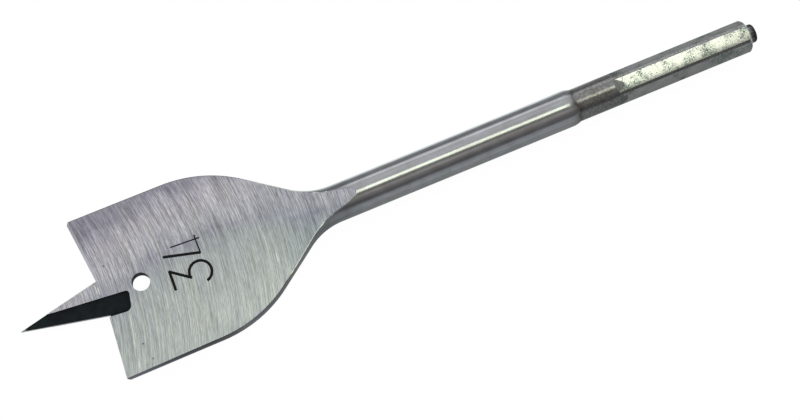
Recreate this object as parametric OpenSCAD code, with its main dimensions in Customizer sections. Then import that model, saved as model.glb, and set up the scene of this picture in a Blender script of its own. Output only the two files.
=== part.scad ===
// Spade bit for boring wide flat holes in wood.
// One steel bar: forged into a flat fan, ground on both faces, with a hex shank for a drill chuck.

/* [Blade] */
// Cutting diameter over the two outer corners
blade_d = 34; // [26:0.5:40]
// Thickness of the point and at the outer corners
blade_t = 2.4; // [1.8:0.1:3.2]
// Slope of each ground face behind the roots, so that the blade thickens towards the neck (degrees)
face_slope = 1.5; // [0:0.1:2.2]
// Back taper of each side, so that only the corners rub (degrees)
side_taper = 0.6; // [0:0.1:1.5]
// From the tip to the corner where side and shoulder lines meet
shoulder_x = 44.4; // [40:0.2:50]
// Slope of the shoulders against the axis (degrees)
shoulder_slope = 35.2; // [30:0.2:45]
// Rounding of the shoulder corner
shoulder_r = 26.5; // [6:0.5:28]

/* [Cutting edges] */
// From the tip to the roots of the wings
point_l = 17.1; // [12:0.1:22]
// Width of the point at the roots
point_w = 7.5; // [5:0.1:9]
// Side relief of the point's edges (degrees)
point_relief = 6; // [2:0.5:12]
// Lead of the outer corners ahead of the roots (degrees)
wing_lead = 5.6; // [2:0.2:9]
// Relief behind the wings' cutting edges (degrees)
wing_relief = 14; // [6:0.5:20]

/* [Chip grooves] */
// Width of the groove beside each edge of the point
groove_w = 4.1; // [2.5:0.1:4.4]
// How far each groove runs on behind the roots
groove_run = 5.5; // [3:0.1:5.8]
// Depth of the groove along its inner side
groove_depth = 0.35; // [0.2:0.05:0.5]
// Fall of the groove's floor towards the cutting edge (degrees)
groove_rake = 8; // [0:0.5:10]
// Slant of the groove against the axis (degrees)
groove_slant = 5.5; // [3:0.1:8]
// Slant of the groove's closed end against a square end (degrees)
groove_end = 8; // [0:1:15]
// Corner radius at the groove's closed end
groove_r = 0.7; // [0.4:0.1:1.2]

/* [Pull hole] */
// Diameter of the hole through the blade
hole_d = 3.7; // [2.5:0.1:4.5]
// From the roots of the wings to the hole's centre
hole_back = 8.2; // [8.2:0.1:14]

/* [Neck] */
// From the tip to where the ground faces start to rise
lift_x = 53.6; // [48:0.2:58]
// Radius of the rise out to the shaft
lift_r = 135; // [60:1:160]
// Hollow radius between shoulder and shaft
neck_r = 13; // [4:0.5:16]

/* [Shaft] */
// Diameter of the round shaft
shaft_d = 7.6; // [7.2:0.1:8.4]
// From the tip to the end of the full shaft
shaft_end_x = 117.7; // [95:0.5:260]
// Rounding of the step down to the shank
step_r = 4.6; // [2:0.2:8]

/* [Shank] */
// Round diameter of the shank, over the hexagon's corners
shank_d = 6.84; // [6.7:0.02:7.1]
// Hexagon across flats
hex_af = 6.3; // [6.2:0.01:6.4]
// Turn of the hexagon against the blade (degrees)
hex_turn = 6; // [0:1:30]
// From the end of the shaft to the shank's rear face
shank_l = 40.6; // [36:0.2:60]
// Length of the six flats
hex_l = 29.8; // [20:0.2:32]
// Slope on which the flats run out (degrees)
flat_ramp = 30; // [15:1:60]
// Bevel round the rear face
end_bevel = 0.5; // [0.2:0.1:0.8]
// Diameter of the sheared stub on the rear face
stub_d = 3.9; // [2:0.1:5]
// Length of the stub
stub_l = 1.7; // [0.8:0.1:3]
// Rounded rim of the stub
stub_rim = 0.5; // [0.2:0.1:0.7]

/* [Hidden] */
$fn = 144;
lift_facets = 720;
arc_steps = 12;
// Overshoot of every cutter past the stock
over = 2;
blade_r = blade_d / 2;
shaft_r = shaft_d / 2;
shank_r = shank_d / 2;
rear_x = shaft_end_x + shank_l;
overall_l = rear_x + stub_l;
flats = 6;
// The rise is sunk by this much, so that it crosses the sloping face and does not only touch it
lift_sink = 0.002;
// Outer corners of the wings
wing_span = blade_r - point_w / 2;
corner_x = point_l - wing_span * tan(wing_lead);
// Radius of the blade's side at a distance x from the tip
function side_r(x) = blade_r - (x - corner_x) * tan(side_taper);
// Height of a ground face above the axis at a distance x from the tip: level over the point, then sloping
function face_z(x) = blade_t / 2 + max(x - point_l, 0) * tan(face_slope);
// Shoulder line, from its corner with the side down to the shaft
shoulder_top = side_r(shoulder_x);
shoulder_run = (shoulder_top - shaft_r) / tan(shoulder_slope);
shoulder_len = (shoulder_top - shaft_r) / sin(shoulder_slope);
// Both roundings share the shoulder line, so each stops at its part of it
convex_share = 0.6;
hollow_share = 0.35;
convex_half = tan((shoulder_slope - side_taper) / 2);
hollow_half = tan(shoulder_slope / 2);
convex_cut = min(shoulder_r * convex_half, shoulder_len * convex_share);
hollow_cut = min(neck_r * hollow_half, shoulder_len * hollow_share);
convex_r = convex_cut / convex_half;
hollow_r = hollow_cut / hollow_half;
// Centres of the roundings
convex_x = shoulder_x - convex_cut * cos(side_taper);
shoulder_c = [convex_x, side_r(convex_x)] - convex_r * [sin(side_taper), cos(side_taper)];
neck_c = [shoulder_x + shoulder_run + hollow_cut, shaft_r + hollow_r];
step_c = [shaft_end_x, shaft_r - step_r];
step_end = asin((shank_r - shaft_r + step_r) / step_r);
rim_c = [overall_l - stub_rim, stub_d / 2 - stub_rim];
// Centre of the rise, tangent to the sloping face, and where it leaves the shaft
lift_c = [lift_x, face_z(lift_x)] + lift_r * [-sin(face_slope), cos(face_slope)];
lift_end_x = lift_c[0] + sqrt(pow(lift_r, 2) - pow(lift_c[1] - shaft_r, 2));
// Centres of the two corners at the groove's closed end
inner_c = [groove_run - groove_r * (1 + sin(groove_end)) / cos(groove_end), -groove_r];
outer_c = [
    groove_run - (groove_r + (groove_w - groove_r) * sin(groove_end)) / cos(groove_end),
    groove_r - groove_w
];
// Half width of the point at the roots, square to its leaning sides
point_half = point_w / 2 * cos(point_relief) - face_z(point_l) * sin(point_relief);

// Repeats a cut on the opposite face, half a turn about the axis
module both_faces() {
    children();
    rotate([180, 0, 0]) children();
}

// Points of an arc about c, from one bearing to another (degrees)
function arc(c, r, from, to) = [
    for (i = [0 : arc_steps])
        let (a = from + (to - from) * i / arc_steps)
        c + r * [cos(a), sin(a)]
];

// Half outline of the bar: tapered side, round shoulder, slope, hollow neck, shaft, step, shank, stub
function bar_outline() = concat(
    [[-over, 0], [-over, side_r(-over)]],
    arc(shoulder_c, convex_r, 90 - side_taper, 90 - shoulder_slope),
    arc(neck_c, hollow_r, 270 - shoulder_slope, 270),
    arc(step_c, step_r, 90, step_end),
    [[rear_x - end_bevel, shank_r], [rear_x, shank_r - end_bevel], [rear_x, stub_d / 2]],
    arc(rim_c, stub_rim, 90, 0),
    [[overall_l, 0]]
);

// The bar as forged and turned, before any face is ground
module bar() {
    rotate([0, 90, 0])
        rotate_extrude()
            rotate(90) mirror([0, 1]) polygon(bar_outline());
}

// Stock above one face: level over the point, a long slope over the blade, then an arc up to the shaft
module face_cut() {
    rotate([90, 0, 0])
        linear_extrude(height = blade_d + 2 * over, center = true) {
            polygon([
                [-2 * over, face_z(-2 * over)],
                [point_l, face_z(point_l)],
                [lift_x, face_z(lift_x)],
                [lift_x, blade_d],
                [-2 * over, blade_d]
            ]);
            intersection() {
                translate(lift_c - [0, lift_sink])
                    circle(lift_r, $fn = lift_facets);
                translate([lift_x - over, 0])
                    square([lift_end_x - lift_x + 2 * over, blade_d]);
            }
        }
}

// Long wedge of the point, turned a little about the axis so that both sides lean back
module point_wedge() {
    rotate([point_relief, 0, 0])
        linear_extrude(height = blade_d, center = true)
            polygon([
                [0, 0],
                [2 * point_l, -2 * point_half],
                [2 * point_l, 2 * point_half]
            ]);
}

// Stock ahead of one wing, bounded by its relieved cutting edge
module wing_cut() {
    translate([point_l, -point_w / 2, face_z(point_l)])
        rotate([0, -wing_relief, -wing_lead])
            translate([-point_l - 2 * over, -blade_r, -blade_d / 2])
                cube([point_l + 2 * over, blade_r + point_w, blade_d]);
}

// Stock round the point and ahead of both wings
module front_cut() {
    difference() {
        both_faces() wing_cut();
        point_wedge();
    }
}

// Sunk groove beside one cutting edge of the point, closed behind the root by a slanted end
module groove_cut() {
    translate([point_l, 0, face_z(point_l)])
        rotate([groove_rake, 0, -groove_slant])
            translate([0, 0, -groove_depth])
                linear_extrude(height = blade_t)
                    polygon(concat(
                        [[-point_l - over, 0], [-point_l - over, -groove_w]],
                        arc(outer_c, groove_r, -90, -groove_end),
                        arc(inner_c, groove_r, -groove_end, 90)
                    ));
}

// Hole through the blade for pulling the bit back, or hanging it up
module pull_hole() {
    translate([point_l + hole_back, 0, 0])
        cylinder(d = hole_d, h = blade_d, center = true);
}

// Stock beyond one flat of the hexagon
module flat_cut() {
    rotate([90, 0, 0])
        linear_extrude(height = shank_d, center = true)
            polygon([
                [rear_x - hex_l, hex_af / 2],
                [rear_x + over, hex_af / 2],
                [rear_x + over, hex_af / 2 + over],
                [rear_x - hex_l - over / tan(flat_ramp), hex_af / 2 + over]
            ]);
}

// Lies with its shaft on the ground, blade level, shank towards +X
module spade_bit() {
    color([0.66, 0.67, 0.66])
        translate([-overall_l / 2, 0, shaft_r])
            difference() {
                bar();
                both_faces() face_cut();
                front_cut();
                both_faces() groove_cut();
                pull_hole();
                for (i = [0 : flats - 1])
                    rotate([hex_turn + i * 360 / flats, 0, 0]) flat_cut();
            }
}

spade_bit();
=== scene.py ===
import math

import bmesh
import bpy
from mathutils import Matrix, Vector


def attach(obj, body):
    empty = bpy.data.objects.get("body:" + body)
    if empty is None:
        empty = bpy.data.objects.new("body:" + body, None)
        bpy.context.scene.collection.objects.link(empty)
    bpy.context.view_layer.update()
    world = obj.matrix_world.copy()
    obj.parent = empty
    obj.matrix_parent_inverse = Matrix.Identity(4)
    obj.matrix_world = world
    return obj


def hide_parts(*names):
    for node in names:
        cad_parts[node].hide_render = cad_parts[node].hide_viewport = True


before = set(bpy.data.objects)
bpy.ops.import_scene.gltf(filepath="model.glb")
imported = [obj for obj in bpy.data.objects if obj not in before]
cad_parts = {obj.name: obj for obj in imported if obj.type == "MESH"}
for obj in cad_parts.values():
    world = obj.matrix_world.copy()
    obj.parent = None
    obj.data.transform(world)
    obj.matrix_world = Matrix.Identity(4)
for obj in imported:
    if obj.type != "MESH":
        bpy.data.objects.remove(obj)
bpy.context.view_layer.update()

# The bar: one length of tool steel, forged out into a flat fan, turned round behind it, and ground on
# both faces. The faces run out on the round shaft in a long hollow. Sizes are in millimetres from the
# tip, on the bit's own axis, and are those of the solid that this piece stands for.
MM = 0.001
OVERALL = 160.0
SHAFT_R = 3.8
SHANK_R = 3.42
BLADE_R = 17.0
BLADE_HALF_T = 1.2
FACE_SLOPE = math.tan(math.radians(1.5))
SIDE_TAPER = math.radians(0.6)
POINT_L = 17.1
POINT_HALF_W = 3.75
WING_LEAD = math.radians(5.6)
CORNER_X = POINT_L - (BLADE_R - POINT_HALF_W) * math.tan(WING_LEAD)
SHOULDER_X = 44.4
SHOULDER_SLOPE = math.radians(35.2)
SHOULDER_R = 26.5
NECK_R = 13.0
LIFT_X = 53.6
LIFT_R = 135.0
SHAFT_END = 117.7
STEP_R = 4.6
REAR_X = 158.3
END_BEVEL = 0.5
STUB_R = 1.95
STUB_RIM = 0.5
# Broken edge between face and rim, and the most of a section that it may take
EDGE_BEVEL = 0.13
EDGE_SHARE = 0.3
# Length of the neck on which that edge is rubbed level and carries a painted glint, and the length in which
# this fades in and out
WORN_FROM, WORN_TO = 50.0, 66.0
WORN_FADE = 4.0
# How finely the bar is divided along its length and round each section
BLADE_STATIONS = (-1.0, POINT_L, 20.0)
CURVE_STEPS = 40
SLOPE_STEPS = 14
RUN_OUT_STEPS, RUN_OUT_STEP = 61, 0.1
STEP_STEPS = 10
RIM_STEPS = 6
ARC_POINTS = 49
FACE_POINTS = 9
QUARTER = math.pi / 2
SAME_POINT = 1e-4


def side_radius(x):
    return BLADE_R - (x - CORNER_X) * math.tan(SIDE_TAPER)


def face_height(x):
    return BLADE_HALF_T + max(x - POINT_L, 0.0) * FACE_SLOPE


def arc_points(centre, radius, start, end, steps):
    turns = [start + i * (end - start) / steps for i in range(steps + 1)]
    return [(centre[0] + radius * math.cos(a), centre[1] + radius * math.sin(a)) for a in turns]


def ground_height(x):
    """Height of a ground face above the axis: a slight slope, then a long arc up to the shaft."""
    if x <= LIFT_X:
        return face_height(x)
    slope = math.atan(FACE_SLOPE)
    centre_x = LIFT_X - LIFT_R * math.sin(slope)
    centre_z = face_height(LIFT_X) + LIFT_R * math.cos(slope)
    reach = min(x - centre_x, LIFT_R)
    return centre_z - math.sqrt(LIFT_R ** 2 - reach ** 2)


def bar_stations():
    """(x, radius) along the bar: side, round shoulder, slope, hollow neck, shaft, step, shank, stub."""
    top = side_radius(SHOULDER_X)
    run = (top - SHAFT_R) / math.tan(SHOULDER_SLOPE)
    convex_cut = SHOULDER_R * math.tan((SHOULDER_SLOPE - SIDE_TAPER) / 2)
    hollow_cut = NECK_R * math.tan(SHOULDER_SLOPE / 2)
    convex_x = SHOULDER_X - convex_cut * math.cos(SIDE_TAPER)
    shoulder = (
        convex_x - SHOULDER_R * math.sin(SIDE_TAPER),
        side_radius(convex_x) - SHOULDER_R * math.cos(SIDE_TAPER),
    )
    neck = (SHOULDER_X + run + hollow_cut, SHAFT_R + NECK_R)
    step_turn = math.asin((SHANK_R - SHAFT_R + STEP_R) / STEP_R)
    rim = (OVERALL - STUB_RIM, STUB_R - STUB_RIM)
    outline = [(x, side_radius(x)) for x in BLADE_STATIONS]
    outline += arc_points(shoulder, SHOULDER_R, QUARTER - SIDE_TAPER, QUARTER - SHOULDER_SLOPE, CURVE_STEPS)
    hollow = arc_points(neck, NECK_R, 3 * QUARTER - SHOULDER_SLOPE, 3 * QUARTER, CURVE_STEPS)
    slope_start, slope_end = outline[-1], hollow[0]
    outline += [
        tuple(a + (b - a) * i / SLOPE_STEPS for a, b in zip(slope_start, slope_end))
        for i in range(1, SLOPE_STEPS)
    ]
    outline += hollow
    outline += [(neck[0] + RUN_OUT_STEP * i, SHAFT_R) for i in range(1, RUN_OUT_STEPS + 1)]
    outline += arc_points((SHAFT_END, SHAFT_R - STEP_R), STEP_R, QUARTER, step_turn, STEP_STEPS)
    outline += [(REAR_X - END_BEVEL, SHANK_R), (REAR_X, SHANK_R - END_BEVEL), (REAR_X, STUB_R)]
    outline += arc_points(rim, STUB_RIM, QUARTER, 0.0, RIM_STEPS)
    return outline


def worn_share(x):
    """How far the neck's edge is rubbed level: 0 where it is broken as elsewhere, 1 for a flat strip."""
    return min(max(min(x - WORN_FROM, WORN_TO - x) / WORN_FADE, 0.0), 1.0)


def bar_ring(x, radius):
    """One cross-section: a circle cut off by the two ground faces, its four corners a little broken."""
    height = min(ground_height(x), radius)
    half_width = math.sqrt(max(radius ** 2 - height ** 2, 0.0))
    corner = math.asin(height / radius)
    bevel = min(EDGE_BEVEL, EDGE_SHARE * half_width, EDGE_SHARE * radius * corner)
    side_turn = corner - bevel * (1.0 - worn_share(x)) / radius
    flat = half_width - bevel
    ring = []
    for side, half_turn in ((1, 0.0), (-1, math.pi)):
        for i in range(FACE_POINTS):
            y = flat - 2 * flat * i / (FACE_POINTS - 1)
            ring.append((x, side * y, side * height))
        for i in range(ARC_POINTS):
            turn = math.pi - side_turn + 2 * side_turn * i / (ARC_POINTS - 1) + half_turn
            ring.append((x, radius * math.cos(turn), radius * math.sin(turn)))
    return ring


def skin_between(shell, rows):
    """Closes rows of points into a skin, with a cap on the first and the last."""
    count = len(rows[0])
    for fore, aft in zip(rows, rows[1:]):
        for i in range(count):
            j = (i + 1) % count
            shell.faces.new((fore[i], fore[j], aft[j], aft[i]))
    shell.faces.new(rows[0])
    shell.faces.new(rows[-1])


def bar_mesh():
    shell = bmesh.new()
    skin_between(shell, [[shell.verts.new(p) for p in bar_ring(x, r)] for x, r in bar_stations()])
    bmesh.ops.remove_doubles(shell, verts=shell.verts, dist=SAME_POINT)
    bmesh.ops.recalc_face_normals(shell, faces=shell.faces)
    return shell


def to_object(shell, name):
    mesh = bpy.data.meshes.new(name)
    shell.to_mesh(mesh)
    shell.free()
    made = bpy.data.objects.new(name, mesh)
    bpy.context.scene.collection.objects.link(made)
    return made


bit = to_object(bar_mesh(), "spade_bit_finish")

# The cutting end: two wings ground back behind their edges, a long wedge of a point between them, a
# sunk chip groove beside each edge of the point, and the pull hole. Each cut is repeated half a turn
# round the axis, so that both edges cut when the bit turns clockwise.
WING_RELIEF = math.radians(14)
POINT_RELIEF = math.radians(6)
GROOVE_W = 4.1
GROOVE_RUN = 5.5
GROOVE_DEPTH = 0.35
GROOVE_RAKE = math.radians(8)
GROOVE_SLANT = math.radians(5.5)
GROOVE_END = math.radians(8)
GROOVE_INNER_R, GROOVE_OUTER_R = 0.7, 1.3
CORNER_STEPS = 10
HOLE_X = 25.3
HOLE_R = 1.85
HOLE_SIDES = 72
# How far every cutter reaches past the stock
REACH = 40.0
BOTH_FACES = (Matrix.Identity(4), Matrix.Rotation(math.pi, 4, "X"))


def turned(x, y, z):
    return Matrix.Rotation(z, 4, "Z") @ Matrix.Rotation(y, 4, "Y") @ Matrix.Rotation(x, 4, "X")


def prism(outline, low, high):
    """A straight prism on a plane outline, from one height to another."""
    solid = bmesh.new()
    skin_between(solid, [[solid.verts.new((x, y, z)) for x, y in outline] for z in (low, high)])
    bmesh.ops.recalc_face_normals(solid, faces=solid.faces)
    return solid


def cutter(solid, place):
    bmesh.ops.transform(solid, matrix=place, verts=solid.verts)
    return to_object(solid, "cutter")


def cut(stock, tools):
    """Takes each tool out of the stock and removes the tool."""
    for tool in tools:
        step = stock.modifiers.new("cut", "BOOLEAN")
        step.operation = "DIFFERENCE"
        step.solver = "EXACT"
        step.object = tool
        evaluated = stock.evaluated_get(bpy.context.evaluated_depsgraph_get())
        result = bpy.data.meshes.new_from_object(evaluated)
        stock.modifiers.clear()
        stock.data = result
        bpy.data.objects.remove(tool)
    return stock


def point_wedge():
    half = POINT_HALF_W * math.cos(POINT_RELIEF) - face_height(POINT_L) * math.sin(POINT_RELIEF)
    outline = [(0.0, 0.0), (2 * POINT_L, -2 * half), (2 * POINT_L, 2 * half)]
    return cutter(prism(outline, -REACH, REACH), turned(POINT_RELIEF, 0, 0))


def wing_block(side):
    """Stock ahead of one wing, but for the point."""
    outline = [(-REACH, -REACH), (0.0, -REACH), (0.0, 2 * POINT_HALF_W), (-REACH, 2 * POINT_HALF_W)]
    root = Matrix.Translation((POINT_L, -POINT_HALF_W, face_height(POINT_L)))
    place = side @ root @ turned(0, -WING_RELIEF, -WING_LEAD)
    return cut(cutter(prism(outline, -REACH, REACH), place), [point_wedge()])


GROOVE_ROOT = Matrix.Translation((POINT_L, 0, face_height(POINT_L)))
GROOVE_PLACE = GROOVE_ROOT @ turned(GROOVE_RAKE, 0, -GROOVE_SLANT)


def groove_block(side):
    """Sunk groove beside one edge of the point, with a slanted round end behind the root."""
    lean, upright = math.sin(GROOVE_END), math.cos(GROOVE_END)
    inner = GROOVE_RUN - GROOVE_INNER_R * (1 + lean) / upright
    outer = GROOVE_RUN - (GROOVE_OUTER_R + (GROOVE_W - GROOVE_OUTER_R) * lean) / upright
    outer_centre, inner_centre = (outer, GROOVE_OUTER_R - GROOVE_W), (inner, -GROOVE_INNER_R)
    outline = [(-REACH, -GROOVE_W)]
    outline += arc_points(outer_centre, GROOVE_OUTER_R, -QUARTER, -GROOVE_END, CORNER_STEPS)
    outline += arc_points(inner_centre, GROOVE_INNER_R, -GROOVE_END, QUARTER, CORNER_STEPS)
    outline += [(-REACH, 0.0)]
    return cutter(prism(outline, -GROOVE_DEPTH, REACH), side @ GROOVE_PLACE)


def hole_block():
    outline = arc_points((HOLE_X, 0.0), HOLE_R, 0.0, 4 * QUARTER, HOLE_SIDES)[:-1]
    return cutter(prism(outline, -REACH, REACH), Matrix.Identity(4))


cut(bit, [wing_block(side) for side in BOTH_FACES])
cut(bit, [groove_block(side) for side in BOTH_FACES] + [hole_block()])

# The shank's six flats, milled along the round rear length so that a hex holder can drive the bit.
# They are crowned by a hair and run out on short ramps, and the round's own skin is left along the
# six corners.
HEX_HALF = 3.15
HEX_START = 128.5
HEX_TURN = math.radians(6)
FLAT_RAMP = math.tan(math.radians(30))
FLATS = 6
FLAT_TURNS = [HEX_TURN + i * 4 * QUARTER / FLATS for i in range(FLATS)]
# Stock left beyond the flats, on every side
STOCK = 2.0
CROWN = 0.034
CROWN_HALF_W = math.sqrt(SHANK_R ** 2 - HEX_HALF ** 2)
CROWN_STRIPS = 16
SLIVER = 0.002


def flat_block(turn):
    """Stock beyond one flat, a little hollow underneath, so that the flat it leaves is crowned."""
    solid = bmesh.new()
    rear, top = REAR_X + STOCK, HEX_HALF + STOCK
    rows = []
    for i in range(CROWN_STRIPS + 1):
        y = STOCK * (2 * i / CROWN_STRIPS - 1)
        low = HEX_HALF - CROWN * (y / CROWN_HALF_W) ** 2
        corners = ((HEX_START, low), (rear, low), (rear, top), (HEX_START - STOCK / FLAT_RAMP, top))
        rows.append([solid.verts.new((x, y, z)) for x, z in corners])
    skin_between(solid, rows)
    bmesh.ops.recalc_face_normals(solid, faces=solid.faces)
    return cutter(solid, turned(turn, 0, 0))


def close_slivers(piece):
    """Closes up the very short edges that the cuts leave where two surfaces nearly meet."""
    shell = bmesh.new()
    shell.from_mesh(piece.data)
    bmesh.ops.remove_doubles(shell, verts=shell.verts, dist=SLIVER)
    bmesh.ops.dissolve_degenerate(shell, edges=shell.edges, dist=SLIVER)
    shell.to_mesh(piece.data)
    shell.free()


cut(bit, [flat_block(turn) for turn in FLAT_TURNS])
close_slivers(bit)

# Finishes of the one steel: lines ground across the faces, the drawn skin of the rim, shaft and shank,
# painted shade in the grooves and on the hole's wall, the milled flats, the relief ground behind the edges
# and a painted glint on the edge of the neck; the ground faces and the skin carry painted reflection and
# shade as well. All share one group of nodes for their fine lines.


def node(tree, kind, at, **values):
    made = tree.nodes.new(kind)
    made.location = at
    for name, value in values.items():
        setattr(made, name, value)
    return made


def feed(tree, value, socket):
    """Sets a socket to a number or a colour, or links it to another node's output."""
    if isinstance(value, (int, float)):
        socket.default_value = value
    elif isinstance(value, tuple):
        socket.default_value = (*value, 1.0)
    else:
        tree.links.new(value, socket)


def math_node(tree, operation, at, *values):
    made = node(tree, "ShaderNodeMath", at, operation=operation)
    for socket, value in zip(made.inputs, values):
        feed(tree, value, socket)
    return made.outputs[0]


def vector_node(tree, at, x, y, z):
    made = node(tree, "ShaderNodeCombineXYZ", at)
    for socket, value in zip(made.inputs, (x, y, z)):
        feed(tree, value, socket)
    return made.outputs[0]


def noise_node(tree, at, vector, scale, detail, roughness):
    made = node(tree, "ShaderNodeTexNoise", at)
    for name, value in (("Vector", vector), ("Scale", scale), ("Detail", detail), ("Roughness", roughness)):
        feed(tree, value, made.inputs[name])
    return made.outputs["Fac"]


def range_node(tree, at, value, start, end, to_start, to_end):
    """The value, carried evenly from one range to another and held at its ends."""
    made = node(tree, "ShaderNodeMapRange", at)
    for socket, given in zip(made.inputs, (value, start, end, to_start, to_end)):
        feed(tree, given, socket)
    return made.outputs[0]


def grey(value):
    return (value, value, value)


WHITE = grey(1.0)


def ramp_node(tree, at, value, stops):
    made = node(tree, "ShaderNodeValToRGB", at)
    elements = made.color_ramp.elements
    while len(elements) < len(stops):
        elements.new(0.5)
    for element, (place, colour) in zip(elements, stops):
        element.position = place
        element.color = (*colour, 1.0)
    feed(tree, value, made.inputs["Fac"])
    return made.outputs["Color"]


def colour_node(tree, at, blend, amount, first, second):
    """Two colours mixed by an amount: MIX for one over the other, MULTIPLY for a darker layer."""
    made = node(tree, "ShaderNodeMix", at, data_type="RGBA", blend_type=blend)
    for socket, value in zip((made.inputs[0], made.inputs[6], made.inputs[7]), (amount, first, second)):
        feed(tree, value, socket)
    return made.outputs[2]


def fine_lines_group():
    """Lines along Y of the vector that comes in: broad, coarse and fine streaks, and cloudy patches."""
    tree = bpy.data.node_groups.new("fine_lines", "ShaderNodeTree")
    face = tree.interface
    face.new_socket(name="Vector", in_out="INPUT", socket_type="NodeSocketVector")
    for name, value in (("Lines per mm", 3.0), ("Line length", 12.0), ("Patch size mm", 9.0)):
        face.new_socket(name=name, in_out="INPUT", socket_type="NodeSocketFloat").default_value = value
    # Output, times the lines per mm, times the line length, detail, row in the node editor
    streaks = (
        ("Broad", 0.14, 2.0, 2.0, 450),
        ("Coarse", 1.0, 1.0, 2.0, 200),
        ("Fine", 1.7, 0.16, 1.0, -50),
    )
    streak_grain, patch_detail, patch_grain = 0.55, 3.0, 0.5
    for name in [row[0] for row in streaks] + ["Patch"]:
        face.new_socket(name=name, in_out="OUTPUT", socket_type="NodeSocketFloat")
    start = node(tree, "NodeGroupInput", (-900, 0))
    end = node(tree, "NodeGroupOutput", (700, 0))
    split = node(tree, "ShaderNodeSeparateXYZ", (-700, 100))
    feed(tree, start.outputs["Vector"], split.inputs[0])
    for name, pace, stretch, detail, row in streaks:
        lines = math_node(tree, "MULTIPLY", (-700, row - 150), start.outputs["Lines per mm"], pace)
        length = math_node(tree, "MULTIPLY", (-700, row - 230), start.outputs["Line length"], stretch)
        across = math_node(tree, "MULTIPLY", (-500, row), split.outputs[0], lines)
        along = math_node(tree, "DIVIDE", (-500, row - 80), split.outputs[1], length)
        deep = math_node(tree, "MULTIPLY", (-500, row - 160), split.outputs[2], lines)
        drawn_out = vector_node(tree, (-300, row), across, along, deep)
        feed(tree, noise_node(tree, (-100, row), drawn_out, 1.0, detail, streak_grain), end.inputs[name])
    patch_scale = math_node(tree, "DIVIDE", (-500, -420), 1.0, start.outputs["Patch size mm"])
    patch = noise_node(tree, (-100, -400), start.outputs["Vector"], patch_scale, patch_detail, patch_grain)
    feed(tree, patch, end.inputs["Patch"])
    return tree


FINE_LINES = fine_lines_group()


def lines_node(tree, at, vector, per_mm, length, patch_mm):
    made = node(tree, "ShaderNodeGroup", at, node_tree=FINE_LINES)
    values = {"Vector": vector, "Lines per mm": per_mm, "Line length": length, "Patch size mm": patch_mm}
    for name, value in values.items():
        feed(tree, value, made.inputs[name])
    return made.outputs


def new_finish(name):
    """A material with its Principled shader, and the surface point in millimetres from the tip."""
    made = bpy.data.materials.new(name)
    made.use_nodes = True
    tree = made.node_tree
    shader = tree.nodes["Principled BSDF"]
    shader.location = (900, 0)
    place = node(tree, "ShaderNodeTexCoord", (-1700, 0))
    to_mm = node(tree, "ShaderNodeMapping", (-1500, 0))
    to_mm.inputs["Scale"].default_value = grey(1 / MM)
    to_mm.inputs["Location"].default_value = (OVERALL / 2, 0, -SHAFT_R)
    feed(tree, place.outputs["Object"], to_mm.inputs["Vector"])
    split = node(tree, "ShaderNodeSeparateXYZ", (-1300, 0))
    feed(tree, to_mm.outputs["Vector"], split.inputs[0])
    return made, tree, shader, split.outputs


def bump(tree, at, height, strength, depth_mm, shader):
    made = node(tree, "ShaderNodeBump", at)
    feed(tree, strength, made.inputs["Strength"])
    feed(tree, depth_mm * MM, made.inputs["Distance"])
    feed(tree, height, made.inputs["Height"])
    feed(tree, made.outputs["Normal"], shader.inputs["Normal"])


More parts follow.
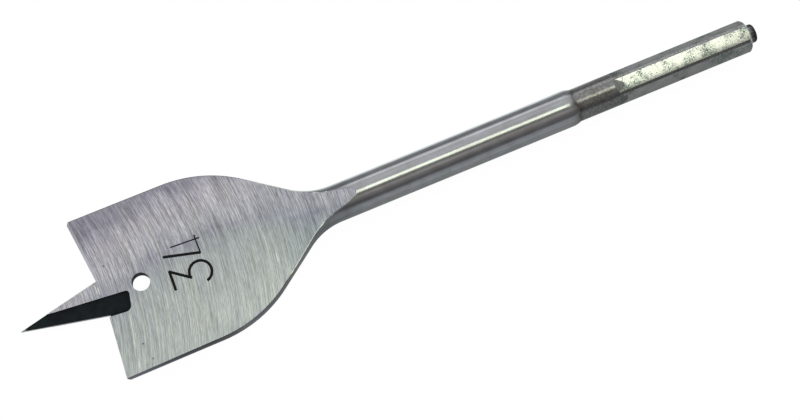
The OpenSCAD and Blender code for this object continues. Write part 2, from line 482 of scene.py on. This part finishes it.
def ground_steel():
    """Belt-ground face: lines across the blade, bowed a little towards the shank, with a few pits and
    bright scratches. Its colour turns from green to violet grey over a dim band above the hole: a painted
    reflection of the studio, with painted shade dimming the roots and the neck."""
    made, tree, shader, (x, y, z) = new_finish("ground_steel")
    bow_centre, bow_radius = 4.0, 62.0
    off = math_node(tree, "SUBTRACT", (-1100, -150), y, bow_centre)
    square = math_node(tree, "MULTIPLY", (-950, -150), off, off)
    bow = math_node(tree, "DIVIDE", (-800, -150), square, 2 * bow_radius)
    across = math_node(tree, "ADD", (-650, -100), x, bow)
    belt = vector_node(tree, (-500, -100), across, y, z)
    lines = lines_node(tree, (-300, -100), belt, per_mm=6.0, length=8.0, patch_mm=7.0)

    # Painted reflection across the blade, green below and violet above, on a band that bows with the length
    # and wanders
    band_middle, band_rise, band_bow = 40.0, 2.4, 0.008
    band_low, band_high, band_wander = -17.0, 19.0, 2.0
    from_middle = math_node(tree, "SUBTRACT", (-750, 600), x, band_middle)
    from_middle = math_node(tree, "MULTIPLY", (-600, 600), from_middle, from_middle)
    bowed = math_node(tree, "MULTIPLY_ADD", (-450, 600), from_middle, band_bow, band_rise)
    wander = range_node(tree, (-300, 500), lines["Patch"], 0.3, 0.7, -band_wander, band_wander)
    drift = math_node(tree, "ADD", (-300, 600), bowed, wander)
    height = math_node(tree, "ADD", (-150, 500), y, drift)
    share = range_node(tree, (0, 500), height, band_low, band_high, 0.0, 1.0)
    light_tint = ramp_node(tree, (150, 500), share, [
        (0.0, (0.71, 0.755, 0.78)),
        (0.22, (0.81, 0.85, 0.83)),
        (0.42, (0.725, 0.77, 0.77)),
        (0.54, (0.74, 0.78, 0.79)),
        (0.645, (0.71, 0.715, 0.80)),
        (0.72, (0.955, 0.94, 1.0)),
        (0.82, (0.985, 0.945, 1.0)),
        (0.90, (0.93, 0.89, 0.98)),
        (0.98, (0.66, 0.63, 0.72)),
    ])

    # Painted shade: a little dimmer at the roots and where the face turns up to the shaft
    dim_length = 55.0
    reach = range_node(tree, (0, 700), x, POINT_L, POINT_L + dim_length, 0.0, 1.0)
    painted_dimming = ramp_node(tree, (150, 700), reach, [
        (0.0, (0.93, 0.93, 0.95)),
        (0.16, WHITE),
        (0.45, grey(0.98)),
        (0.60, (0.96, 0.96, 0.97)),
        (0.78, (0.82, 0.845, 0.87)),
        (1.0, (0.95, 0.97, 1.0)),
    ])
    colour = colour_node(tree, (350, 600), "MULTIPLY", 1.0, light_tint, painted_dimming)

    # The ground lines, fainter on the green half
    broad = ramp_node(tree, (-50, 250), lines["Broad"], [
        (0.3, (0.91, 0.915, 0.97)), (0.7, (1.0, 1.0, 0.985)),
    ])
    coarse = ramp_node(tree, (-50, 50), lines["Coarse"], [
        (0.36, grey(0.54)), (0.47, grey(0.74)), (0.57, grey(0.98)), (0.62, WHITE),
    ])
    fine = ramp_node(tree, (-50, -150), lines["Fine"], [
        (0.34, (0.63, 0.64, 0.66)), (0.5, grey(0.84)), (0.60, grey(0.98)), (0.64, WHITE),
    ])
    depth = range_node(tree, (300, 400), share, 0.50, 0.70, 0.72, 1.0)
    for row, (layer, amount) in enumerate(((broad, 1.0), (coarse, depth), (fine, depth))):
        colour = colour_node(tree, (450, 300 - 150 * row), "MULTIPLY", amount, colour, layer)

    pit_r, pit_cover, pit_colour = 0.24, 0.8, (0.10, 0.09, 0.10)
    on_face = vector_node(tree, (-300, -900), x, y, 0.0)
    for pit in ((19.7, 5.8, 0.0), (21.2, -11.7, 0.0), (21.9, -15.2, 0.0)):
        away = node(tree, "ShaderNodeVectorMath", (-150, -900), operation="DISTANCE")
        feed(tree, on_face, away.inputs[0])
        away.inputs[1].default_value = pit
        mask = range_node(tree, (0, -900), away.outputs["Value"], pit_r / 2, pit_r, pit_cover, 0.0)
        colour = colour_node(tree, (600, -600), "MIX", mask, colour, pit_colour)

    # Scratches along the lines: line that it follows, from and to in y, half width, shine
    scratches = (
        (16.62, 0.9, 3.1, 0.15, 0.85),
        (17.05, 0.6, 2.4, 0.12, 0.85),
        (21.5, -12.4, -4.6, 0.12, 0.85),
        (22.0, -15.9, -14.6, 0.14, 0.85),
        (29.33, -7.6, -3.4, 0.20, 0.45),
        (31.2, -9.0, -5.5, 0.08, 0.85),
        (51.28, -10.6, 0.4, 0.22, 0.40),
        (52.68, -7.1, -4.9, 0.14, 0.85),
    )
    for line, start, end, half, shine in scratches:
        aside = math_node(tree, "SUBTRACT", (-300, -1200), across, line)
        aside = math_node(tree, "ABSOLUTE", (-150, -1200), aside)
        width = range_node(tree, (0, -1200), aside, half / 2, half, shine, 0.0)
        along = math_node(tree, "SUBTRACT", (-300, -1350), y, (start + end) / 2)
        along = math_node(tree, "ABSOLUTE", (-150, -1350), along)
        length = range_node(tree, (0, -1350), along, (end - start) / 3, (end - start) / 2, 1.0, 0.0)
        mask = math_node(tree, "MULTIPLY", (200, -1250), width, length)
        colour = colour_node(tree, (700, -700), "MIX", mask, colour, (0.96, 0.96, 0.92))

    feed(tree, colour, shader.inputs["Base Color"])
    roughness = range_node(tree, (450, -250), lines["Coarse"], 0.25, 0.75, 0.40, 0.31)
    feed(tree, roughness, shader.inputs["Roughness"])
    shader.inputs["Metallic"].default_value = 1.0
    shader.inputs["Anisotropic"].default_value = 0.8
    tangent = node(tree, "ShaderNodeTangent", (600, -450), direction_type="RADIAL", axis="X")
    feed(tree, tangent.outputs[0], shader.inputs["Tangent"])
    shader.inputs["Anisotropic Rotation"].default_value = 0.25
    bump(tree, (650, -250), lines["Coarse"], strength=0.3, depth_mm=0.02, shader=shader)
    return made


def along_bar(stops):
    """Stops of a ramp over the whole length, given in millimetres from the tip."""
    return [(place / OVERALL, colour) for place, colour in stops]


def bar_skin():
    """Skin of the bar: dull forged rim round the blade, darker and lighter along it with painted shade and
    painted reflection, polished shaft, a dark ring at the step, a browner shank, and a sheared stub with a
    painted highlight at its root and painted shade at its end."""
    made, tree, shader, (x, y, z) = new_finish("bar_skin")
    drawn = vector_node(tree, (-1100, -100), y, x, z)
    lines = lines_node(tree, (-800, -100), drawn, per_mm=3.0, length=12.0, patch_mm=2.5)

    # Zones along the bar, with uneven borders but for those at the rear end
    border = 0.4
    waver = range_node(tree, (-1100, 450), lines["Patch"], 0.3, 0.7, -border, border)
    steady = range_node(tree, (-1250, 600), x, REAR_X - 6.0, REAR_X - 2.0, 1.0, 0.0)
    waver = math_node(tree, "MULTIPLY", (-1050, 500), waver, steady)
    place = math_node(tree, "ADD", (-1000, 350), x, waver)
    along = math_node(tree, "DIVIDE", (-900, 300), place, OVERALL)
    zones = ramp_node(tree, (-800, 350), along, along_bar([
        # Painted shade and painted reflection: the rim's forged skin goes darker and lighter along the
        # blade and the neck as it is lit there
        (14, (0.46, 0.46, 0.54)),
        (23, (0.24, 0.24, 0.29)),
        (26.5, (0.15, 0.15, 0.185)),
        (34, (0.125, 0.125, 0.15)),
        (37.5, (0.17, 0.175, 0.20)),
        (41, (0.37, 0.37, 0.41)),
        (46, (0.33, 0.335, 0.37)),
        (50, (0.33, 0.335, 0.355)),
        (55, (0.46, 0.475, 0.495)),
        (59, (0.46, 0.475, 0.50)),
        (62, (0.38, 0.395, 0.41)),
        (68, (0.45, 0.47, 0.485)),
        (74, (0.61, 0.63, 0.65)),
        (117, (0.61, 0.63, 0.65)),
        (118.6, (0.52, 0.52, 0.53)),
        (119.4, (0.22, 0.21, 0.21)),
        (120.4, (0.44, 0.445, 0.44)),
        (129, (0.42, 0.425, 0.425)),
        (132, (0.49, 0.495, 0.50)),
        (158.1, (0.49, 0.495, 0.50)),
        # Painted shadow as a thin dark line at the stub's root, a painted highlight on the ring after it,
        # and painted shade blackening its end
        (158.35, grey(0.05)),
        (158.7, (0.36, 0.36, 0.365)),
        (159.2, (0.20, 0.20, 0.205)),
        (159.6, (0.04, 0.04, 0.045)),
    ]))

    broad = ramp_node(tree, (-450, 250), lines["Broad"], [(0.3, grey(0.92)), (0.7, WHITE)])
    streak = ramp_node(tree, (-450, 0), lines["Coarse"], [(0.3, (0.84, 0.83, 0.82)), (0.7, WHITE)])
    grime = ramp_node(tree, (-450, -250), lines["Patch"], [(0.36, (0.80, 0.77, 0.75)), (0.6, WHITE)])
    colour = colour_node(tree, (-150, 300), "MULTIPLY", 1.0, zones, broad)
    colour = colour_node(tree, (0, 250), "MULTIPLY", 1.0, colour, streak)
    colour = colour_node(tree, (150, 150), "MULTIPLY", 0.6, colour, grime)

    # Mottled skin, on the shank alone
    specks = noise_node(tree, (-800, -700), drawn, scale=1.9, detail=3.0, roughness=0.7)
    on_shank = range_node(tree, (-800, -950), x, SHAFT_END + 1.0, SHAFT_END + 3.0, 0.0, 1.0)
    mottle = ramp_node(tree, (-450, -700), specks, [(0.36, (0.62, 0.59, 0.58)), (0.58, WHITE)])
    colour = colour_node(tree, (300, 100), "MULTIPLY", on_shank, colour, mottle)
    feed(tree, colour, shader.inputs["Base Color"])

    smooth = ramp_node(tree, (-450, -500), along, along_bar([
        (0, grey(0.44)),
        (58, grey(0.36)),
        (73, grey(0.10)),
        (117, grey(0.10)),
        (119, grey(0.24)),
        (121, grey(0.17)),
        (128, grey(0.17)),
        (131, grey(0.22)),
    ]))
    line_roughness, mottle_height = 0.12, 9.0
    roughness = math_node(tree, "MULTIPLY_ADD", (-100, -450), lines["Fine"], line_roughness, smooth)
    feed(tree, roughness, shader.inputs["Roughness"])
    shader.inputs["Metallic"].default_value = 1.0
    uneven = math_node(tree, "MULTIPLY", (-450, -950), specks, on_shank)
    height = math_node(tree, "MULTIPLY_ADD", (200, -500), uneven, mottle_height, lines["Fine"])
    bump(tree, (500, -350), height, strength=0.14, depth_mm=0.008, shader=shader)
    return made


def groove_painted_shade():
    """Painted shade: near black in the sunk grooves and on the hole's wall. At the tip, where the groove
    runs out, the steel's own grey is left.
    """
    made, tree, shader, (x, y, z) = new_finish("groove_painted_shade")
    point = vector_node(tree, (-1100, -100), x, y, z)
    lines = lines_node(tree, (-800, -100), point, per_mm=6.0, length=2.0, patch_mm=1.5)
    # Near-black painted shade, uneven in patches
    scale = ramp_node(tree, (-300, 100), lines["Patch"], [
        (0.3, (0.008, 0.0125, 0.0155)), (0.7, (0.017, 0.027, 0.0335)),
    ])
    tip_length, tip_steel = 1.3, (0.62, 0.63, 0.64)
    at_tip = range_node(tree, (-300, 300), x, tip_length / 2, tip_length, 1.0, 0.0)
    feed(tree, colour_node(tree, (0, 100), "MIX", at_tip, scale, tip_steel), shader.inputs["Base Color"])
    roughness = range_node(tree, (-300, -150), lines["Fine"], 0.0, 1.0, 0.62, 0.8)
    feed(tree, roughness, shader.inputs["Roughness"])
    shader.inputs["Specular IOR Level"].default_value = 0.25
    bump(tree, (500, -350), lines["Fine"], strength=0.3, depth_mm=0.02, shader=shader)
    return made


def hex_flat():
    """Milled flat of the shank: bright, pitted with dark specks, and ragged where the cut begins."""
    made, tree, shader, (x, y, z) = new_finish("hex_flat")
    drawn = vector_node(tree, (-1100, -100), y, x, z)
    lines = lines_node(tree, (-800, -100), drawn, per_mm=3.0, length=3.0, patch_mm=3.0)
    specks = noise_node(tree, (-800, -400), drawn, scale=3.2, detail=3.0, roughness=0.75)

    # Pits crowd together in patches and at the start of the flat
    start = range_node(tree, (-800, -700), x, HEX_START - 0.8, HEX_START + 3.4, -0.16, 0.0)
    patchy = range_node(tree, (-700, -500), lines["Patch"], 0.3, 0.7, -0.03, 0.23)
    patchy = math_node(tree, "ADD", (-650, -600), patchy, start)
    crowd = math_node(tree, "ADD", (-600, -550), specks, patchy)
    pits = ramp_node(tree, (-450, -400), crowd, [
        (0.43, (0.32, 0.40, 0.36)), (0.51, (0.74, 0.83, 0.77)), (0.60, WHITE),
    ])
    tone = ramp_node(tree, (-550, 100), lines["Patch"], [
        (0.3, (0.57, 0.57, 0.565)), (0.7, (0.66, 0.65, 0.645)),
    ])
    colour = colour_node(tree, (-100, 50), "MULTIPLY", 1.0, tone, pits)

    # The uncut start: a notch in the middle of the flat, by the distance from the axis
    notch_lean, notch_length, notch_border = 6.0, 0.4, 0.2
    off_axis = node(tree, "ShaderNodeVectorMath", (-1300, -800), operation="LENGTH")
    feed(tree, vector_node(tree, (-1500, -800), 0.0, y, z), off_axis.inputs[0])
    notch = math_node(tree, "MULTIPLY_ADD", (-1000, -900), off_axis.outputs["Value"], notch_lean, x)
    ragged = math_node(tree, "ADD", (-900, -1000), notch, specks)
    edge = HEX_START + notch_lean * SHANK_R + notch_length
    uncut = range_node(tree, (-800, -900), ragged, edge, edge + notch_border, 1.0, 0.0)
    colour = colour_node(tree, (50, 50), "MIX", uncut, colour, (0.27, 0.275, 0.265))
    feed(tree, colour, shader.inputs["Base Color"])

    dull = range_node(tree, (-100, -200), crowd, 0.44, 0.62, 0.36, 0.13)
    uncut_roughness = 0.2
    roughness = math_node(tree, "MULTIPLY_ADD", (50, -200), uncut, uncut_roughness, dull)
    feed(tree, roughness, shader.inputs["Roughness"])
    shader.inputs["Metallic"].default_value = 1.0
    bump(tree, (500, -350), crowd, strength=1.0, depth_mm=0.006, shader=shader)
    return made


def relief_satin():
    """Relief faces behind the cutting edges: finely ground, pale and dull."""
    made, tree, shader, (x, y, z) = new_finish("relief_satin")
    wheel = vector_node(tree, (-1100, -100), y, z, x)
    lines = lines_node(tree, (-800, -100), wheel, per_mm=5.0, length=3.0, patch_mm=2.0)
    tone = ramp_node(tree, (-300, 100), lines["Coarse"], [
        (0.3, (0.62, 0.63, 0.68)), (0.7, (0.86, 0.87, 0.92)),
    ])
    feed(tree, tone, shader.inputs["Base Color"])
    roughness = range_node(tree, (-300, -150), lines["Patch"], 0.3, 0.7, 0.5, 0.62)
    feed(tree, roughness, shader.inputs["Roughness"])
    shader.inputs["Metallic"].default_value = 0.25
    bump(tree, (500, -350), lines["Coarse"], strength=0.2, depth_mm=0.01, shader=shader)
    return made


def glint_edge():
    """Edge of the neck between face and rim: a thin level strip, painted bright in short lengths as a glint
    that the strip lamp lights, and dark where it fades in.
    """
    made, tree, shader, (x, y, z) = new_finish("glint_edge")
    drawn = vector_node(tree, (-1100, -100), y, x, z)
    lines = lines_node(tree, (-800, -100), drawn, per_mm=2.0, length=4.0, patch_mm=1.4)
    to_ends = range_node(tree, (-500, 100), x, WORN_FROM, WORN_TO, -0.2, 0.2)
    to_ends = math_node(tree, "ABSOLUTE", (-400, 150), to_ends)
    patchy = math_node(tree, "SUBTRACT", (-350, 50), lines["Patch"], to_ends)
    # Painted glint: short lengths of near-white base colour along the edge, dim grey between them
    rubbed = ramp_node(tree, (-200, 100), patchy, [(0.30, (0.34, 0.35, 0.37)), (0.44, (0.97, 0.98, 0.93))])
    rising = range_node(tree, (-200, 300), x, WORN_FROM, WORN_FROM + WORN_FADE, 0.0, 1.0)
    tone = colour_node(tree, (100, 200), "MIX", rising, (0.10, 0.10, 0.11), rubbed)
    feed(tree, tone, shader.inputs["Base Color"])
    roughness = range_node(tree, (-300, -150), lines["Fine"], 0.0, 1.0, 0.18, 0.30)
    feed(tree, roughness, shader.inputs["Roughness"])
    shader.inputs["Metallic"].default_value = 1.0
    bump(tree, (500, -350), lines["Fine"], strength=0.2, depth_mm=0.005, shader=shader)
    return made


FINISHES = [ground_steel(), bar_skin(), groove_painted_shade(), hex_flat(), relief_satin(), glint_edge()]
GROUND, SKIN, PAINTED_SHADE, FLAT, RELIEF, GLINT = range(len(FINISHES))
OUTLINE = bar_stations()
# A face this near to a surface, or turned this far its way, belongs to it
TOUCH = 0.02
ON_FLAT, ON_FACE, ON_END = 0.995, 0.9, 0.5
SHARP = math.radians(15)


def bar_radius(x):
    for (fore_x, fore_r), (aft_x, aft_r) in zip(OUTLINE, OUTLINE[1:]):
        if fore_x <= x < aft_x:
            return fore_r + (aft_r - fore_r) * (x - fore_x) / (aft_x - fore_x)
    return 0.0


def in_groove(point):
    for side in BOTH_FACES:
        local = (side @ GROOVE_PLACE).inverted() @ point
        across = -GROOVE_W - TOUCH < local.y < TOUCH
        if across and local.x < GROOVE_RUN + TOUCH and local.z > -GROOVE_DEPTH - TOUCH:
            return True
    return False


def shank_finish(centre, normal):
    for turn in FLAT_TURNS:
        out = Vector((0.0, -math.sin(turn), math.cos(turn)))
        if normal.dot(out) > ON_FLAT and abs(centre.dot(out) - HEX_HALF) < CROWN + TOUCH:
            return FLAT
    on_bevel = REAR_X - END_BEVEL < centre.x < REAR_X and normal.x > ON_END
    return RELIEF if on_bevel else SKIN


def finish_of(centre, normal):
    """Which finish a face of the bit has, by where it lies and how it is turned."""
    x, y, z = centre
    if x > HEX_START - STOCK:
        return shank_finish(centre, normal)
    if abs(math.hypot(x - HOLE_X, y) - HOLE_R) < TOUCH and abs(normal.z) < ON_END:
        return PAINTED_SHADE
    off_axis = math.hypot(y, z)
    inside = off_axis < bar_radius(x) - TOUCH
    by_edge = math.hypot(abs(y) + EDGE_BEVEL, z) > bar_radius(x)
    if inside and by_edge and WORN_FROM < x < WORN_TO:
        return GLINT
    on_face = abs(abs(z) - ground_height(x)) < TOUCH and abs(normal.z) > ON_FACE
    if not on_face and x < POINT_L + GROOVE_RUN + STOCK and in_groove(centre):
        return PAINTED_SHADE
    if on_face and inside:
        return GROUND
    if x < POINT_L + STOCK and off_axis < side_radius(x) - EDGE_BEVEL:
        return RELIEF
    return SKIN


def dress(piece):
    mesh = piece.data
    mesh.materials.clear()
    for finish in FINISHES:
        mesh.materials.append(finish)
    for polygon in mesh.polygons:
        polygon.material_index = finish_of(polygon.center, polygon.normal)
        polygon.use_smooth = True
    mesh.set_sharp_from_angle(angle=SHARP)


# From millimetres on the bit's axis to metres in the frame, with the shaft on the ground
TO_FRAME = Matrix.Translation((-OVERALL / 2 * MM, 0, SHAFT_R * MM)) @ Matrix.Scale(MM, 4)

dress(bit)
bit.data.transform(TO_FRAME)
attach(bit, "root")
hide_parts("spade_bit")

# The size number: the cutting width in millimetres, marked in thin black strokes on the upper face by a
# hand-guided marker. Each stroke is a flat ribbon on its own path, and it reads from the shank's side.
HEAVY_STROKE = 0.56
LIGHT_STROKE = 0.27
STROKE_HEIGHT = 0.05
BOWL_CENTRE, BOWL_R = (36.9, -2.76), 2.25
BOWL_START, BOWL_END = math.radians(190), math.radians(-76)
THREE = [
    [(31.03, -4.4), (31.24, -0.2)],
    [(31.16, -0.35), (34.9, -3.25)],
    arc_points(BOWL_CENTRE, BOWL_R, BOWL_START, BOWL_END, CURVE_STEPS),
]
FOUR_SLANT = [[(31.07, 2.85), (38.4, 0.84)]]
FOUR_REST = [[(33.14, 4.1), (39.2, 3.75)], [(38.32, 0.8), (38.4, 4.65)]]


def number_black():
    """Burnt-in black, a little uneven where the ground lines show through."""
    made, tree, shader, (x, y, z) = new_finish("number_black")
    point = vector_node(tree, (-1100, -100), x, y, z)
    lines = lines_node(tree, (-800, -100), point, per_mm=4.0, length=4.0, patch_mm=1.2)
    tone = ramp_node(tree, (-300, 100), lines["Coarse"], [
        (0.3, (0.004, 0.004, 0.005)), (0.8, (0.022, 0.022, 0.024)),
    ])
    feed(tree, tone, shader.inputs["Base Color"])
    roughness = range_node(tree, (-300, -150), lines["Patch"], 0.3, 0.7, 0.55, 0.75)
    feed(tree, roughness, shader.inputs["Roughness"])
    shader.inputs["Specular IOR Level"].default_value = 0.2
    bump(tree, (500, -350), lines["Fine"], strength=0.3, depth_mm=0.01, shader=shader)
    return made


def stroke_tree():
    """Sweeps a flat bar along every path of the incoming wires."""
    tree = bpy.data.node_groups.new("marked_strokes", "GeometryNodeTree")
    face = tree.interface
    face.new_socket(name="Paths", in_out="INPUT", socket_type="NodeSocketGeometry")
    for name, value in (("Stroke width", HEAVY_STROKE), ("Stroke height", STROKE_HEIGHT)):
        face.new_socket(name=name, in_out="INPUT", socket_type="NodeSocketFloat").default_value = value
    face.new_socket(name="Finish", in_out="INPUT", socket_type="NodeSocketMaterial")
    face.new_socket(name="Strokes", in_out="OUTPUT", socket_type="NodeSocketGeometry")
    start = node(tree, "NodeGroupInput", (-800, 0))
    wires = node(tree, "GeometryNodeMeshToCurve", (-600, 0))
    level = node(tree, "GeometryNodeSetCurveNormal", (-400, 0), mode="Z_UP")
    bar = node(tree, "GeometryNodeCurvePrimitiveQuadrilateral", (-400, -200))
    sweep = node(tree, "GeometryNodeCurveToMesh", (-100, 0))
    sweep.inputs["Fill Caps"].default_value = True
    whole = node(tree, "GeometryNodeRealizeInstances", (150, 0))
    paint = node(tree, "GeometryNodeSetMaterial", (400, 0))
    end = node(tree, "NodeGroupOutput", (700, 0))
    feed(tree, start.outputs["Paths"], wires.inputs["Mesh"])
    feed(tree, wires.outputs[0], level.inputs["Curve"])
    feed(tree, start.outputs["Stroke width"], bar.inputs["Width"])
    feed(tree, start.outputs["Stroke height"], bar.inputs["Height"])
    feed(tree, level.outputs[0], sweep.inputs["Curve"])
    feed(tree, bar.outputs[0], sweep.inputs["Profile Curve"])
    feed(tree, sweep.outputs[0], whole.inputs["Geometry"])
    feed(tree, whole.outputs[0], paint.inputs["Geometry"])
    feed(tree, start.outputs["Finish"], paint.inputs["Material"])
    feed(tree, paint.outputs[0], end.inputs["Strokes"])
    return tree


STROKES = stroke_tree()
NUMBER_FINISH = number_black()


def swept(paths, width):
    """Plain mesh of the strokes on these paths, each a list of (x, y) on the upper face."""
    wires = bmesh.new()
    for path in paths:
        row = [wires.verts.new((x, y, face_height(x))) for x, y in path]
        for fore, aft in zip(row, row[1:]):
            wires.edges.new((fore, aft))
    carrier = to_object(wires, "stroke_paths")
    sweep = carrier.modifiers.new("strokes", "NODES")
    sweep.node_group = STROKES
    sockets = {i.name: i.identifier for i in STROKES.interface.items_tree if i.in_out == "INPUT"}
    sweep[sockets["Stroke width"]] = width
    sweep[sockets["Stroke height"]] = STROKE_HEIGHT
    sweep[sockets["Finish"]] = NUMBER_FINISH
    evaluated = carrier.evaluated_get(bpy.context.evaluated_depsgraph_get())
    mesh = bpy.data.meshes.new_from_object(evaluated)
    bpy.data.objects.remove(carrier)
    return mesh


def size_number():
    strokes = bmesh.new()
    for paths, width in ((THREE + FOUR_SLANT, HEAVY_STROKE), (FOUR_REST, LIGHT_STROKE)):
        mesh = swept(paths, width)
        strokes.from_mesh(mesh)
        bpy.data.meshes.remove(mesh)
    bmesh.ops.recalc_face_normals(strokes, faces=strokes.faces)
    made = to_object(strokes, "size_number")
    made.data.materials.clear()
    made.data.materials.append(NUMBER_FINISH)
    return made


number = size_number()
number.data.transform(TO_FRAME)
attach(number, "root")

# The studio: a white floor that the bit lies on, a pale dome with a dim side above the camera, one soft
# strip overhead that draws the bright line on the shaft, and the camera close above the blade.
FLOOR_R, FLOOR_SIDES = 6.0, 64
FLOOR_GREY = 0.86
# Share of the floor's look that glows by itself; the rest is lit, and keeps the shadow
FLOOR_GLOW = 0.93
FLOOR_WHITE = 1.05
MIRRORED_TINT = (0.94, 0.985, 1.0)


def floor():
    disc = bmesh.new()
    bmesh.ops.create_circle(disc, cap_ends=True, segments=FLOOR_SIDES, radius=FLOOR_R)
    made = to_object(disc, "floor")
    made.data.materials.append(floor_white())


def seen_straight(tree, rays):
    """1 for rays from the camera, also through glass."""
    outs = rays.outputs
    return math_node(tree, "MAXIMUM", (-250, 150), outs["Is Camera Ray"], outs["Is Transmission Ray"])


def value_node(tree, at, share, first, second):
    """Two values mixed by a share."""
    made = node(tree, "ShaderNodeMix", at)
    for socket, value in zip((made.inputs[0], made.inputs[2], made.inputs[3]), (share, first, second)):
        feed(tree, value, socket)
    return made.outputs[0]


def mirrored_floor(tree):
    """How bright the steel sees the floor: dimmer in front of the bit and by the shank, bright behind."""
    place = node(tree, "ShaderNodeTexCoord", (-500, -300))
    split = node(tree, "ShaderNodeSeparateXYZ", (-350, -300))
    feed(tree, place.outputs["Object"], split.inputs[0])
    x, y = split.outputs[0], split.outputs[1]
    front = range_node(tree, (-350, -450), y, -0.030, -0.006, 0.42, 0.31)
    by_shank = range_node(tree, (-350, -520), x, 0.046, 0.052, 1.0, 0.78)
    front = math_node(tree, "MULTIPLY", (-200, -450), front, by_shank)
    close_behind = range_node(tree, (-350, -600), x, 0.034, 0.052, 1.15, 0.33)
    far_behind = 0.30
    going_off = range_node(tree, (-350, -750), y, 0.010, 0.017, 0.0, 1.0)
    behind = value_node(tree, (-200, -600), going_off, close_behind, far_behind)
    under_bit = range_node(tree, (-350, -900), y, -0.004, 0.004, 0.0, 1.0)
    return value_node(tree, (-100, -500), under_bit, front, behind)


def floor_white():
    """Plain pale floor: white to the camera, with a faint shadow, and softer in the steel."""
    made = bpy.data.materials.new("floor_white")
    made.use_nodes = True
    tree = made.node_tree
    tree.nodes.clear()
    out = node(tree, "ShaderNodeOutputMaterial", (600, 0))
    blend = node(tree, "ShaderNodeMixShader", (400, 0))
    lit = node(tree, "ShaderNodeBsdfDiffuse", (100, -150))
    feed(tree, grey(FLOOR_GREY), lit.inputs["Color"])
    glow = node(tree, "ShaderNodeEmission", (100, -300))
    rays = node(tree, "ShaderNodeLightPath", (-500, 100))
    seen = seen_straight(tree, rays)
    shown = math_node(tree, "MAXIMUM", (-100, 100), seen, rays.outputs["Is Glossy Ray"])
    share = math_node(tree, "MULTIPLY", (50, 150), shown, FLOOR_GLOW)
    strength = value_node(tree, (-50, -350), seen, mirrored_floor(tree), FLOOR_WHITE)
    feed(tree, strength, glow.inputs["Strength"])
    feed(tree, colour_node(tree, (-50, -550), "MIX", seen, MIRRORED_TINT, WHITE), glow.inputs["Color"])
    for value, socket in zip((share, lit.outputs[0], glow.outputs[0]), blend.inputs):
        feed(tree, value, socket)
    feed(tree, blend.outputs[0], out.inputs["Surface"])
    return made


def dome():
    """Light round the bit by bearing about the X axis, in degrees from straight up towards +Y."""
    world = bpy.data.worlds.new("dome")
    world.use_nodes = True
    tree = world.node_tree
    place = node(tree, "ShaderNodeTexCoord", (-900, 0))
    split = node(tree, "ShaderNodeSeparateXYZ", (-700, 0))
    feed(tree, place.outputs["Generated"], split.inputs[0])
    bearing = math_node(tree, "ARCTAN2", (-500, 0), split.outputs[1], split.outputs[2])
    turns = math_node(tree, "DIVIDE", (-300, 0), bearing, 4 * QUARTER)
    share = math_node(tree, "ADD", (-100, 0), turns, 0.5)
    tones = [
        (-92, (0.40, 0.42, 0.45)),
        (-78, (0.35, 0.365, 0.385)),
        (-70, (0.16, 0.16, 0.17)),
        (-57, (0.13, 0.125, 0.13)),
        (-38, (0.26, 0.245, 0.238)),
        (-25, (0.42, 0.405, 0.38)),
        (-13, (0.19, 0.185, 0.182)),
        (2, (0.32, 0.315, 0.305)),
        (14, (0.50, 0.50, 0.51)),
        (22, (0.62, 0.62, 0.64)),
        (40, (0.68, 0.69, 0.70)),
        (54, (0.60, 0.60, 0.62)),
        (67, (1.10, 1.10, 1.14)),
        (82, (0.30, 0.29, 0.32)),
        (92, (0.08, 0.075, 0.095)),
    ]
    colour = ramp_node(tree, (100, 0), share, [(degrees / 360 + 0.5, tone) for degrees, tone in tones])
    seen = seen_straight(tree, node(tree, "ShaderNodeLightPath", (-500, 300)))
    shown = colour_node(tree, (450, 100), "MIX", seen, colour, WHITE)
    feed(tree, shown, tree.nodes["Background"].inputs["Color"])
    bpy.context.scene.world = world


def soft_strip():
    """A soft light overhead, leaning a little towards +X and +Y, and turned to the bit."""
    lean_x, lean_y, distance = math.radians(9.0), math.radians(5.0), 1.5
    size_x, size_y = 0.66, 0.40
    radiance, light_tint = 1.58, (0.94, 1.0, 0.79)
    data = bpy.data.lights.new("strip", "AREA")
    data.shape = "RECTANGLE"
    data.size, data.size_y = size_x, size_y
    data.energy = radiance * math.pi * size_x * size_y
    data.color = light_tint
    lamp = bpy.data.objects.new("strip", data)
    bpy.context.scene.collection.objects.link(lamp)
    way = Vector((math.tan(lean_x), math.tan(lean_y), 1.0)).normalized()
    across = Vector((1, 0, 0))
    across = (across - across.dot(way) * way).normalized()
    turn = Matrix((across, way.cross(across), way)).transposed()
    lamp.matrix_world = Matrix.Translation(way * distance) @ turn.to_4x4()


def camera():
    """The photograph's view: from above and a little in front, with the shank up to the right."""
    lens, sensor, nearest = 90.0, 36.0, 0.01
    place, tilt_degrees = (-0.046596, -0.091923, 0.392238), (13.94182, -1.10278, -23.20612)
    data = bpy.data.cameras.new("camera")
    data.lens, data.sensor_width, data.clip_start = lens, sensor, nearest
    made = bpy.data.objects.new("camera", data)
    made.location = place
    made.rotation_euler = [math.radians(angle) for angle in tilt_degrees]
    bpy.context.scene.collection.objects.link(made)
    bpy.context.scene.camera = made


floor()
dome()
soft_strip()
camera()
bpy.context.scene.view_settings.view_transform = "Standard"
